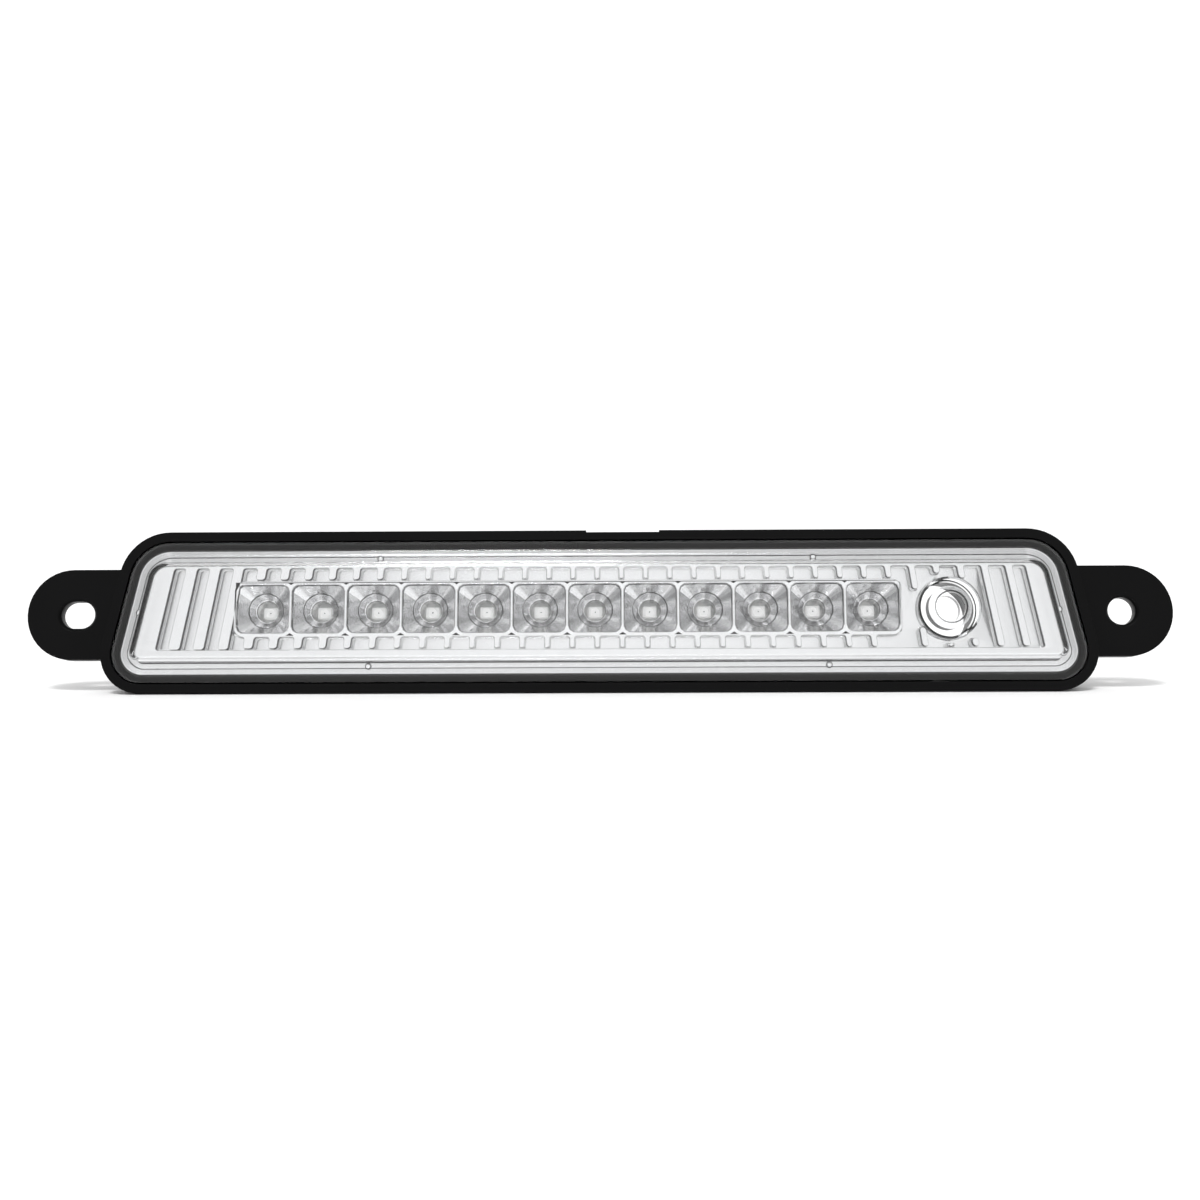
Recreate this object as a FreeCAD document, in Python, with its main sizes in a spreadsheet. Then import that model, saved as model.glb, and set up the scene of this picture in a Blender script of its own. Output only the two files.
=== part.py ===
"""Third brake light: a black rear housing with two fixing ears, a clear lens with a
washer port, a metallised fluted bezel and a row of twelve LEDs in square reflector cells.

Frame: +X to the lamp's right, +Z up, the lens faces -Y.  The origin lies midway between
the two ear holes, on the plane of the ears' rear faces.  Lengths are in millimetres.
"""
import FreeCAD, Part
import Sketcher
import math
import os
import re

SIZES = {
    # outline of the black rim, seen from the front
    "body_mid_width": 239.8,
    "body_height": 40.0,
    "end_slant": 12.0,
    "corner_top": 12.5,
    "corner_bottom": 10.0,
    "inner_corner": 1.6,
    "rim_depth": 7.0,
    "rim_width": 2.3,
    "notch_length": 18.0,
    "notch_depth": 0.45,
    "notch_offset": 6.3,
    # fixing ears
    "ear_hole_reach": 9.5,
    "ear_tip_reach": 21.9,
    "ear_height": 22.6,
    "ear_thickness": 3.2,
    "hole_diameter": 6.8,
    "slot_length": 8.4,
    "hole_chamfer": 0.75,
    # lens
    "flange_gap": 0.2,
    "flange_width": 2.3,
    "flange_thickness": 2.0,
    "flange_recess": 0.5,
    "lens_rise": 2.5,
    "lens_wall": 2.0,
    "bevel_width": 3.3,
    "bead_width": 1.3,
    "bead_height": 1.2,
    # housing behind the flange
    "seat_width": 2.3,
    "seat_depth": 1.6,
    "tub_wall": 2.0,
    "tub_depth": 11.0,
    "back_rib_width": 1.4,
    "back_rib_height": 1.2,
    "gasket_thickness": 3.3,
    "gasket_margin": 0.6,
    # bezel
    "fit_gap": 0.25,
    "bezel_wall": 1.2,
    "bezel_gap": 0.9,
    "end_land": 11.05,
    "top_land": 9.1,
    "bottom_land": 10.5,
    "flute_depth": 2.4,
    "flute_count": 36,
    "fan_height": 540.0,
    "rib_width": 1.0,
    "rib_spread_left": 2.0,
    "rib_spread_right": 0.7,
    "rib_gap": 0.5,
    # reflector cells and LEDs
    "led_count": 12,
    "row_margin": 19.95,
    "row_height": 13.2,
    "row_line": 0.65,
    "cell_ridge": 0.6,
    "bowl_depth": 7.6,
    "bowl_diameter": 7.0,
    "led_window": 5.2,
    "led_depth": 8.0,
    "led_width": 3.5,
    "led_height": 2.8,
    "led_thickness": 1.9,
    "lens_cup": 2.4,
    "cup_depth": 0.3,
    # circuit board
    "board_thickness": 1.6,
    "board_margin": 0.4,
    "post_diameter": 5.0,
    "screw_diameter": 2.2,
    "screw_length": 6.0,
    "screw_head": 4.2,
    "head_thickness": 1.4,
    "screw_clearance": 0.1,
    "resistor_length": 6.3,
    "resistor_width": 3.2,
    "resistor_height": 0.6,
    "diode_length": 4.4,
    "diode_width": 2.6,
    "diode_height": 2.2,
    "capacitor_length": 3.2,
    "capacitor_width": 1.6,
    "capacitor_height": 1.2,
    # washer port
    "port_margin": 22.9,
    "port_row_gap": 11.8,
    "port_line": 0.3,
    "port_diameter": 14.2,
    "port_bore": 10.6,
    "port_mouth": 7.4,
    "port_flat": 2.7,
    "port_length": 9.0,
    "port_floor": 2.0,
    "sleeve_length": 15.7,
    "sleeve_wall": 1.5,
    "sleeve_shoulder": 0.5,
    "seal_width": 1.4,
    "seal_length": 2.2,
    # rear connector socket
    "socket_width": 12.4,
    "socket_height": 6.6,
    "socket_length": 12.0,
    "socket_wall": 1.5,
    "blade_width": 2.8,
    "blade_thickness": 0.8,
    "blade_spacing": 5.0,
    "blade_length": 14.0,
    "header_depth": 3.4,
    "header_height": 4.4,
    # vent
    "vent_hole": 3.0,
    "vent_disc": 9.0,
    "vent_disc_depth": 0.5,
    "vent_cap": 12.0,
    "vent_cap_height": 2.6,
    "vent_cap_roof": 1.0,
    "vent_slot_width": 2.4,
    "vent_slot_depth": 0.8,
}

doc = FreeCAD.newDocument("third_brake_light")
sheet = doc.addObject("Spreadsheet::Sheet", "Sizes")
for row, (alias, number) in enumerate(SIZES.items(), start=1):
    sheet.set(f"A{row}", alias)
    sheet.set(f"B{row}", str(number))
    sheet.setAlias(f"B{row}", alias)
doc.recompute()


def cells(text):
    """Turn the size names in an expression into references to the sheet."""
    return re.sub(r"[a-z]+(?:_[a-z]+)+", lambda m: "Sizes." + m.group(0), text)


def number(text):
    """The present value of an expression on the sheet."""
    value = sheet.evalExpression(cells(text))
    return float(getattr(value, "Value", value))


# levels along Y, each written once and used by every piece that meets there
RIM_FRONT = "(-rim_depth)"
FLANGE_FRONT = "(-rim_depth + flange_recess)"
FLANGE_REAR = "(-rim_depth + flange_recess + flange_thickness)"
CHANNEL_FLOOR = "(-rim_depth + flange_recess + flange_thickness + bead_height)"
BEZEL_SEAT = f"({CHANNEL_FLOOR} + seat_depth)"
PLATEAU_FRONT = "(-rim_depth - lens_rise)"
PLATEAU_REAR = "(-rim_depth - lens_rise + lens_wall)"
BEZEL_FRONT = f"({PLATEAU_REAR} + bezel_gap)"
FLUTE_FLOOR = f"({BEZEL_FRONT} + flute_depth)"
LED_FRONT = f"({BEZEL_FRONT} + led_depth)"
BOARD_FRONT = f"({LED_FRONT} + led_thickness)"
BOARD_REAR = f"({BOARD_FRONT} + board_thickness)"
TUB_REAR = "(tub_depth)"
TUB_FLOOR = "(tub_depth - tub_wall)"
PORT_REAR = f"({PLATEAU_FRONT} + port_length)"
SLEEVE_FRONT = f"({PORT_REAR} - seal_length)"

# insets from the rim's outer edge, measured square to each side
RIM_INNER = "(rim_width)"
FLANGE_OUTER = "(rim_width + flange_gap)"
FLANGE_INNER = "(rim_width + flange_gap + flange_width)"
SEAT_INNER = "(rim_width + flange_gap + flange_width + seat_width)"
TUB_OUTER = f"({SEAT_INNER} - tub_wall)"
PLATEAU_EDGE = f"({FLANGE_INNER} + bevel_width)"

# cell places of the parts behind the row of cells; whole numbers lie behind an LED
SCREW_PLACES = (0.5, 5.5, 10.5)
POST_PLACES = (1.5, 4.5, 7.5, 9.7)
RESISTOR_PLACES = (1.0, 5.05, 7.0, 8.9)
BACK_RIB_PLACES = (-0.9, 0.6, 2.1, 5.6, 6.8, 9.6, 10.8)
CAPACITOR_PLACE = 2.05
DIODE_PLACE = 3.97
SOCKET_PLACE = 3.25
VENT_PLACE = 7.66

# places along X and Z
FLUTE_END = "(body_mid_width / 2 - end_land)"
RIB_PITCH = f"({FLUTE_END} / (flute_count / 2))"
ROW_START = f"(-{FLUTE_END} + row_margin)"
PORT_X = f"({FLUTE_END} - port_margin)"
CELL_PITCH = f"(({PORT_X} - port_row_gap - {ROW_START}) / led_count)"
ROW_LENGTH = f"({CELL_PITCH} * led_count)"
FLUTE_TOP = "(body_height / 2 - top_land)"
FLUTE_BOTTOM = "(-body_height / 2 + bottom_land)"
HOLE_X = "(body_mid_width / 2 + ear_hole_reach)"
TIP_X = "(body_mid_width / 2 + ear_tip_reach)"
SOCKET_X = f"({ROW_START} + {CELL_PITCH} * ({SOCKET_PLACE} + 0.5))"
VENT_X = f"({ROW_START} + {CELL_PITCH} * ({VENT_PLACE} + 0.5))"


def bind(item, **expressions):
    """Bind properties of an object to expressions on the sheet."""
    for prop, text in expressions.items():
        item.setExpression(prop.replace("_", "."), cells(text))
    return item


def box(x, y, z, length, width, height):
    """A box with its lowest corner at x, y, z."""
    item = doc.addObject("Part::Box", "Box")
    bind(item, Length=length, Width=width, Height=height)
    return bind(item, Placement_Base_x=x, Placement_Base_y=y, Placement_Base_z=z)


def rod(x, z, y, radius, length):
    """A round bar along +Y that starts at y."""
    item = doc.addObject("Part::Cylinder", "Rod")
    item.Placement.Rotation = FreeCAD.Rotation(FreeCAD.Vector(1, 0, 0), -90)
    bind(item, Radius=radius, Height=length)
    return bind(item, Placement_Base_x=x, Placement_Base_y=y, Placement_Base_z=z)


def cone(x, z, y, front_radius, rear_radius, length):
    """A cone frustum along +Y that starts at y."""
    item = doc.addObject("Part::Cone", "Cone")
    item.Placement.Rotation = FreeCAD.Rotation(FreeCAD.Vector(1, 0, 0), -90)
    bind(item, Radius1=front_radius, Radius2=rear_radius, Height=length)
    return bind(item, Placement_Base_x=x, Placement_Base_y=y, Placement_Base_z=z)


def fuse(*items):
    """One solid from several that touch or overlap."""
    item = doc.addObject("Part::MultiFuse", "Fuse")
    item.Shapes = list(items)
    item.Refine = True
    return item


def cut(base, *tools):
    """The base with every tool taken out of it."""
    item = doc.addObject("Part::Cut", "Cut")
    item.Base = base
    item.Tool = tools[0] if len(tools) == 1 else fuse(*tools)
    item.Refine = True
    return item


def common(first, second):
    """What two solids share."""
    item = doc.addObject("Part::MultiCommon", "Common")
    item.Shapes = [first, second]
    item.Refine = True
    return item


def group(*items):
    """Separate identical solids kept in one node."""
    item = doc.addObject("Part::Compound", "Group")
    item.Links = list(items)
    return item


def front_sketch(y):
    """An empty sketch that faces the front, at the level y."""
    sketch = doc.addObject("Sketcher::SketchObject", "Outline")
    sketch.Placement.Rotation = FreeCAD.Rotation(FreeCAD.Vector(1, 0, 0), 90)
    return bind(sketch, Placement_Base_y=y)


def limit(sketch, kind, places, text):
    """Add a dimension to a sketch and bind it to the sheet."""
    value = number(text)
    if kind == "Angle":
        value = math.radians(value)
    index = sketch.addConstraint(Sketcher.Constraint(kind, *places, value))
    unit = " * 1 deg" if kind == "Angle" else ""
    sketch.setExpression(f"Constraints[{index}]", f"({cells(text)}){unit}")


def outline(y, top, bottom, mid_half, slant, top_radius, bottom_radius):
    """A trapezoid with rounded corners, wider at the bottom, as a constrained sketch."""
    sketch = front_sketch(y)
    lean = math.tan(math.radians(number(slant)))
    corners = []
    for side, level, radius in ((1, bottom, bottom_radius), (1, top, top_radius),
                                (-1, top, top_radius), (-1, bottom, bottom_radius)):
        height = number(level)
        corner = FreeCAD.Vector(side * (number(mid_half) - lean * height), height, 0)
        corners.append((corner, number(radius)))
    marks = []
    for index, (corner, radius) in enumerate(corners):
        before = corners[index - 1][0]
        after = corners[(index + 1) % 4][0]
        inward = (before - corner).normalize()
        onward = (after - corner).normalize()
        half_turn = inward.getAngle(onward) / 2
        reach = radius / math.tan(half_turn)
        centre = corner + (inward + onward).normalize() * (radius / math.sin(half_turn))
        marks.append((corner + inward * reach, corner + onward * reach, centre, radius))
    for index in range(4):
        start = marks[index - 1][1]
        end = marks[index][0]
        sketch.addGeometry(Part.LineSegment(start, end))
    for start, end, centre, radius in marks:
        first = math.atan2(start.y - centre.y, start.x - centre.x)
        last = math.atan2(end.y - centre.y, end.x - centre.x)
        circle = Part.Circle(centre, FreeCAD.Vector(0, 0, 1), radius)
        sketch.addGeometry(Part.ArcOfCircle(circle, first, last))
    for index in range(4):
        sketch.addConstraint(Sketcher.Constraint("Tangent", index, 2, 4 + index, 1))
        sketch.addConstraint(Sketcher.Constraint("Tangent", 4 + index, 2, (index + 1) % 4, 1))
    for line in (0, 2):
        sketch.addConstraint(Sketcher.Constraint("Horizontal", line))
    for arc, radius in ((4, bottom_radius), (5, top_radius), (6, top_radius), (7, bottom_radius)):
        limit(sketch, "Radius", (arc,), radius)
    limit(sketch, "DistanceY", (-1, 1, 2, 1), top)
    limit(sketch, "DistanceY", (0, 1, -1, 1), f"-({bottom})")
    limit(sketch, "Angle", (1,), f"90 + ({slant})")
    limit(sketch, "Angle", (3,), f"-90 - ({slant})")
    for line, side in ((1, 1), (3, -1)):
        point = sketch.addGeometry(Part.Point(FreeCAD.Vector(side * number(mid_half), 0, 0)), True)
        sketch.addConstraint(Sketcher.Constraint("PointOnObject", point, 1, line))
        sketch.addConstraint(Sketcher.Constraint("PointOnObject", point, 1, -1))
        ends = (-1, 1, point, 1) if side > 0 else (point, 1, -1, 1)
        limit(sketch, "DistanceX", ends, mid_half)
    return sketch


def rim_outline(y, inset):
    """The rim's outline moved inward by an inset on every side."""
    lean = "cos(end_slant * 1 deg)"
    return outline(y, f"body_height / 2 - {inset}", f"-body_height / 2 + {inset}",
                   f"body_mid_width / 2 - {inset} / {lean}", "end_slant",
                   f"max(corner_top - {inset}; inner_corner)",
                   f"max(corner_bottom - {inset}; inner_corner)")


def flute_outline(y, outset):
    """The outline of the fluted field, which leans towards the point of the flutes' fan."""
    lean = f"atan({FLUTE_END} / fan_height) / 1 deg"
    radius = f"inner_corner + {outset}"
    return outline(y, f"{FLUTE_TOP} + {outset}", f"{FLUTE_BOTTOM} - {outset}",
                   f"{FLUTE_END} + {outset}", lean, radius, radius)


def extrude(sketch, length):
    """A prism from a front sketch, back along +Y."""
    item = doc.addObject("Part::Extrusion", "Prism")
    item.Base = sketch
    item.DirMode = "Custom"
    item.Dir = FreeCAD.Vector(0, 1, 0)
    item.Solid = True
    return bind(item, LengthFwd=length)


def loft(*sketches):
    """A solid with straight sides between outlines."""
    item = doc.addObject("Part::Loft", "Loft")
    item.Sections = list(sketches)
    item.Solid = True
    item.Ruled = True
    return item


def slot_outline(x, y, half_length, radius):
    """A slot along X with round ends, as a constrained sketch."""
    sketch = front_sketch(y)
    bind(sketch, Placement_Base_x=x)
    half = number(half_length)
    curve = number(radius)
    normal = FreeCAD.Vector(0, 0, 1)
    right = Part.Circle(FreeCAD.Vector(half, 0, 0), normal, curve)
    left = Part.Circle(FreeCAD.Vector(-half, 0, 0), normal, curve)
    sketch.addGeometry(Part.ArcOfCircle(right, -math.pi / 2, math.pi / 2))
    sketch.addGeometry(Part.LineSegment(FreeCAD.Vector(half, curve, 0),
                                        FreeCAD.Vector(-half, curve, 0)))
    sketch.addGeometry(Part.ArcOfCircle(left, math.pi / 2, 3 * math.pi / 2))
    sketch.addGeometry(Part.LineSegment(FreeCAD.Vector(-half, -curve, 0),
                                        FreeCAD.Vector(half, -curve, 0)))
    for index in range(4):
        ends = (index, 2, (index + 1) % 4, 1)
        sketch.addConstraint(Sketcher.Constraint("Tangent", *ends))
    for arc, ends in ((0, (-1, 1, 0, 3)), (2, (2, 3, -1, 1))):
        sketch.addConstraint(Sketcher.Constraint("PointOnObject", arc, 3, -1))
        limit(sketch, "DistanceX", ends, half_length)
    limit(sketch, "Radius", (0,), radius)
    return sketch


parts = {}


def keep(name, item):
    """Give a finished sub-part its name."""
    item.Label = name
    parts[name] = item
    return item


def port_opening(y, length, flat_drop):
    """The keyed opening of the washer port: a round hole with a flat bottom."""
    round_hole = rod(PORT_X, "port_line", y, "port_mouth / 2", length)
    block = box(f"{PORT_X} - port_mouth", y, f"port_line - {flat_drop}",
                "2 * port_mouth", length, "2 * port_mouth")
    return common(round_hole, block)


def make_housing():
    """Black rear housing: rim, ears, tub, posts, port sleeve, socket and vent seat."""
    rim = extrude(rim_outline(RIM_FRONT, "0"), "rim_depth")
    tub = extrude(rim_outline("0", TUB_OUTER), "tub_depth")
    ears = []
    for side in (1, -1):
        ear_line = f"{side} * ({TIP_X} - ear_height / 2)"
        ears.append(rod(ear_line, "0", "-ear_thickness", "ear_height / 2", "ear_thickness"))
        reach = f"({TIP_X} - ear_height / 2 - body_mid_width / 2 + rim_width)"
        start = "body_mid_width / 2 - rim_width" if side > 0 else f"-({TIP_X} - ear_height / 2)"
        ears.append(box(start, "-ear_thickness", "-ear_height / 2",
                        reach, "ear_thickness", "ear_height"))
    socket_outer = box(f"{SOCKET_X} - socket_width / 2 - socket_wall", TUB_FLOOR,
                       "row_line - socket_height / 2 - socket_wall",
                       "socket_width + 2 * socket_wall", "socket_length + tub_wall",
                       "socket_height + 2 * socket_wall")
    sleeve = rod(PORT_X, "port_line", SLEEVE_FRONT,
                 "port_diameter / 2 + seal_width + sleeve_wall", "sleeve_length")
    solid = fuse(rim, tub, socket_outer, *ears)
    channel = extrude(rim_outline(RIM_FRONT, RIM_INNER), f"{CHANNEL_FLOOR} + rim_depth")
    seat = extrude(rim_outline(CHANNEL_FLOOR, FLANGE_INNER), "seat_depth")
    room = extrude(rim_outline(BEZEL_SEAT, SEAT_INNER), f"{TUB_FLOOR} - {BEZEL_SEAT}")
    holes = [
        rod(HOLE_X, "0", "-ear_thickness", "hole_diameter / 2", "ear_thickness"),
        cone(HOLE_X, "0", "-ear_thickness", "hole_diameter / 2 + hole_chamfer",
             "hole_diameter / 2", "hole_chamfer"),
        extrude(slot_outline(f"-{HOLE_X}", "-ear_thickness", "(slot_length - hole_diameter) / 2",
                             "hole_diameter / 2"), "ear_thickness"),
        loft(slot_outline(f"-{HOLE_X}", "-ear_thickness", "(slot_length - hole_diameter) / 2",
                          "hole_diameter / 2 + hole_chamfer"),
             slot_outline(f"-{HOLE_X}", "-ear_thickness + hole_chamfer",
                          "(slot_length - hole_diameter) / 2", "hole_diameter / 2")),
    ]
    notch = box("notch_offset - notch_length / 2", RIM_FRONT, "body_height / 2 - notch_depth",
                "notch_length", "rim_depth", "notch_depth")
    socket_room = box(f"{SOCKET_X} - socket_width / 2", TUB_REAR,
                      "row_line - socket_height / 2",
                      "socket_width", "socket_length", "socket_height")
    blade_ways = [box(f"{SOCKET_X} + {side} * blade_spacing / 2 - blade_width / 2", TUB_FLOOR,
                      "row_line - blade_thickness / 2", "blade_width", "tub_wall",
                      "blade_thickness") for side in (1, -1)]
    seal_way = rod(PORT_X, "port_line", SLEEVE_FRONT,
                   "port_diameter / 2 + seal_width", "seal_length + fit_gap")
    port_way = rod(PORT_X, "port_line", SLEEVE_FRONT,
                   "port_diameter / 2 + seal_width - sleeve_shoulder", "sleeve_length")
    vent_way = rod(VENT_X, "row_line", TUB_FLOOR, "vent_hole / 2", "tub_wall")
    vent_recess = rod(VENT_X, "row_line", f"{TUB_REAR} - vent_disc_depth",
                      "vent_disc / 2", "vent_disc_depth")
    body = fuse(cut(solid, channel, seat, room), sleeve)
    shell = cut(body, notch, socket_room, port_way, seal_way, vent_way, vent_recess,
                *blade_ways, *holes)
    posts = [rod(cell_x(place), "row_line", BOARD_REAR, "post_diameter / 2",
                 f"{TUB_FLOOR} - {BOARD_REAR}") for place in POST_PLACES]
    stiffeners = [box(f"{cell_x(place)} - back_rib_width / 2", TUB_REAR,
                      f"-body_height / 2 + {TUB_OUTER} + 2 * fit_gap", "back_rib_width",
                      "back_rib_height", f"body_height - 2 * {TUB_OUTER} - 4 * fit_gap")
                  for place in BACK_RIB_PLACES]
    return keep("rear_housing", fuse(shell, *posts, *stiffeners))


def make_lens():
    """Clear lens: sunk flange, bevelled rise, flat front and the washer port's tube."""
    flange = extrude(rim_outline(FLANGE_FRONT, FLANGE_OUTER), "flange_thickness")
    rise = loft(rim_outline(FLANGE_FRONT, FLANGE_INNER),
                rim_outline(PLATEAU_FRONT, PLATEAU_EDGE))
    hollow = loft(rim_outline(FLANGE_REAR, f"({FLANGE_INNER} + {BEVEL_SHIFT})"),
                  rim_outline(PLATEAU_REAR, f"({PLATEAU_EDGE} + {BEVEL_SHIFT})"))
    tube = rod(PORT_X, "port_line", PLATEAU_FRONT, "port_diameter / 2", "port_length")
    bore = rod(PORT_X, "port_line", PLATEAU_REAR, "port_bore / 2",
               f"{PORT_REAR} - port_floor - {PLATEAU_REAR}")
    mouth = rod(PORT_X, "port_line", PLATEAU_FRONT, "port_mouth / 2", "lens_wall")
    shell = cut(fuse(flange, rise), hollow)
    key = port_opening(f"{PORT_REAR} - port_floor", "port_floor", "port_flat")
    return keep("lens", cut(fuse(shell, tube), bore, mouth, key))


def make_sealant():
    """Bead of sealant that joins the lens flange to the housing's channel."""
    middle = "rim_width + flange_gap + flange_width / 2"
    outer = extrude(rim_outline(FLANGE_REAR, f"({middle} - bead_width / 2)"), "bead_height")
    inner = extrude(rim_outline(FLANGE_REAR, f"({middle} + bead_width / 2)"), "bead_height")
    return keep("lens_sealant", cut(outer, inner))


def make_gasket():
    """Foam gasket behind the rim, which seals the lamp to the bodywork."""
    outer = extrude(rim_outline("0", "gasket_margin"), "gasket_thickness")
    inner = extrude(rim_outline("0", f"({TUB_OUTER} - fit_gap)"), "gasket_thickness")
    return keep("mounting_gasket", cut(outer, inner))


def make_bezel():
    """Metallised bezel: step band, raised front, deep fluted field, window for the reflector."""
    edge = f"({FLANGE_INNER} + fit_gap)"
    crest = f"({PLATEAU_EDGE} + fit_gap)"
    foot = f"({FLANGE_REAR} + 2 * fit_gap)"
    band = extrude(rim_outline(foot, edge), f"{BEZEL_SEAT} - {foot}")
    raised = extrude(rim_outline(BEZEL_FRONT, crest), f"{BEZEL_SEAT} - {BEZEL_FRONT}")
    under = extrude(rim_outline(f"{foot} + bezel_wall", f"({edge} + bezel_wall)"),
                    f"{BEZEL_SEAT} - {foot} - bezel_wall")
    behind = extrude(rim_outline(f"{BEZEL_FRONT} + bezel_wall", f"({crest} + bezel_wall)"),
                     f"{BEZEL_SEAT} - {BEZEL_FRONT} - bezel_wall")
    tray = extrude(flute_outline(BEZEL_FRONT, "bezel_wall"), "flute_depth + bezel_wall")
    field = extrude(flute_outline(BEZEL_FRONT, "0"), "flute_depth")
    port_collar = rod(PORT_X, "port_line", BEZEL_FRONT,
                      "port_diameter / 2 + fit_gap + bezel_wall / 2", "flute_depth + bezel_wall")
    port_way = rod(PORT_X, "port_line", BEZEL_FRONT, "port_diameter / 2 + fit_gap",
                   "flute_depth + bezel_wall")
    window = box(f"{ROW_START} - fit_gap", FLUTE_FLOOR,
                 "row_line - row_height / 2 - fit_gap", f"{ROW_LENGTH} + 2 * fit_gap",
                 "bezel_wall", "row_height + 2 * fit_gap")
    clear = box(f"{ROW_START} - rib_gap", BEZEL_FRONT, "row_line - row_height / 2 - rib_gap",
                f"{ROW_LENGTH} + 2 * rib_gap", "flute_depth", "row_height + 2 * rib_gap")
    ribs = common(fuse(*make_ribs()), extrude(flute_outline(BEZEL_FRONT, "0"), "flute_depth"))
    hollow_frame = cut(fuse(band, raised), under, behind)
    open_tray = cut(fuse(hollow_frame, tray), field, window)
    return keep("bezel", cut(fuse(open_tray, cut(ribs, clear), port_collar), port_way))


def make_ribs():
    """Ribs of the fluted field, which fan out from a point high above the lamp and
    widen towards the lamp's ends."""
    ribs = []
    length = "2 * body_height"
    half_count = int(SIZES["flute_count"]) // 2
    for place in range(1 - half_count, half_count):
        line = number(RIB_PITCH) * place
        lean = -math.degrees(math.atan2(line, SIZES["fan_height"]))
        turn = FreeCAD.Rotation(FreeCAD.Vector(0, 1, 0), lean)
        end = "left" if place < 0 else "right"
        width = f"rib_width + rib_spread_{end} * {(place / half_count) ** 2:.4f}"
        corner = FreeCAD.Vector(-number(width) / 2, 0, -number(length) / 2)
        rib = doc.addObject("Part::Box", "Rib")
        bind(rib, Length=width, Width="flute_depth", Height=length)
        spot = FreeCAD.Vector(line, number(BEZEL_FRONT), 0)
        rib.Placement = FreeCAD.Placement(spot + turn.multVec(corner), turn)
        ribs.append(rib)
    return ribs


def cell_x(place):
    """The place along X of a reflector cell, counted from 0; halves lie between cells."""
    return f"({ROW_START} + {CELL_PITCH} * ({place} + 0.5))"


def make_reflector():
    """Row of square reflector cells, each narrowing to a round window for its LED."""
    block = box(ROW_START, BEZEL_FRONT, "row_line - row_height / 2",
                ROW_LENGTH, f"{BOARD_FRONT} - {BEZEL_FRONT}", "row_height")
    tools = []
    for place in range(int(SIZES["led_count"])):
        funnel = doc.addObject("Part::Wedge", "Cell")
        funnel.Placement.Base.y = number(BEZEL_FRONT)
        mouth = f"({CELL_PITCH} - cell_ridge) / 2"
        tall = "(row_height - 2 * cell_ridge) / 2"
        bind(funnel, Xmin=f"{cell_x(place)} - {mouth}", Xmax=f"{cell_x(place)} + {mouth}",
             Zmin=f"row_line - {tall}", Zmax=f"row_line + {tall}", Ymin="0", Ymax="bowl_depth",
             X2min=f"{cell_x(place)} - bowl_diameter / 2", X2max=f"{cell_x(place)} + bowl_diameter / 2",
             Z2min="row_line - bowl_diameter / 2", Z2max="row_line + bowl_diameter / 2",
             Placement_Base_y=BEZEL_FRONT)
        tools.append(funnel)
        tools.append(rod(cell_x(place), "row_line", BEZEL_FRONT, "led_window / 2",
                         f"{BOARD_FRONT} - {BEZEL_FRONT}"))
    pilots = [rod(cell_x(place), "row_line", f"{BOARD_REAR} - screw_length",
                  "screw_diameter / 2", "screw_length") for place in SCREW_PLACES]
    return keep("led_reflector", cut(block, *tools, *pilots))


def make_board():
    """Circuit board behind the reflector, with its screw holes and blade holes."""
    board = box(f"{ROW_START} + board_margin", BOARD_FRONT,
                "row_line - row_height / 2 + board_margin",
                f"{ROW_LENGTH} - 2 * board_margin", "board_thickness",
                "row_height - 2 * board_margin")
    holes = [rod(cell_x(place), "row_line", BOARD_FRONT, "screw_diameter / 2 + screw_clearance",
                 "board_thickness") for place in SCREW_PLACES]
    return keep("circuit_board", cut(board, *holes))


def make_leds():
    """Surface-mount LEDs, each with a round cup in its face."""
    for place in range(int(SIZES["led_count"])):
        body = box(f"{cell_x(place)} - led_width / 2", LED_FRONT, "row_line - led_height / 2",
                   "led_width", "led_thickness", "led_height")
        cup = cone(cell_x(place), "row_line", LED_FRONT, "lens_cup / 2",
                   "lens_cup / 2 - cup_depth", "cup_depth")
        keep(f"led_{place + 1:02d}", cut(body, cup))


def board_part(place, kind):
    """A block on the back of the board, centred on a cell place."""
    return box(f"{cell_x(place)} - {kind}_length / 2", BOARD_REAR, f"row_line - {kind}_width / 2",
               f"{kind}_length", f"{kind}_height", f"{kind}_width")


def make_board_parts():
    """Resistors, diode, capacitor and blade header on the back of the board."""
    for index, place in enumerate(RESISTOR_PLACES, start=1):
        keep(f"resistor_{index}", board_part(place, "resistor"))
    keep("reverse_diode", board_part(DIODE_PLACE, "diode"))
    keep("capacitor", board_part(CAPACITOR_PLACE, "capacitor"))
    header = box(f"{SOCKET_X} - socket_width / 2", BOARD_REAR, "row_line - header_height / 2",
                 "socket_width", "header_depth", "header_height")
    ways = []
    for name, side in (("terminal_supply", 1), ("terminal_ground", -1)):
        x = f"{SOCKET_X} + {side} * blade_spacing / 2 - blade_width / 2"
        z = "row_line - blade_thickness / 2"
        keep(name, box(x, BOARD_REAR, z, "blade_width", "blade_length", "blade_thickness"))
        ways.append(box(x, BOARD_REAR, z, "blade_width", "header_depth", "blade_thickness"))
    keep("blade_header", cut(header, *ways))


def make_screws():
    """Board screws, driven from behind into the reflector."""
    screws = []
    for place in SCREW_PLACES:
        shank = rod(cell_x(place), "row_line", f"{BOARD_REAR} - screw_length",
                    "screw_diameter / 2", "screw_length")
        head = rod(cell_x(place), "row_line", BOARD_REAR, "screw_head / 2", "head_thickness")
        screws.append(fuse(shank, head))
    keep("board_screws", group(*screws))


def make_port_seal():
    """Rubber ring between the lens tube and the housing's sleeve."""
    ring = rod(PORT_X, "port_line", SLEEVE_FRONT, "port_diameter / 2 + seal_width",
               "seal_length")
    bore = rod(PORT_X, "port_line", SLEEVE_FRONT, "port_diameter / 2", "seal_length")
    keep("port_seal", cut(ring, bore))


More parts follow.
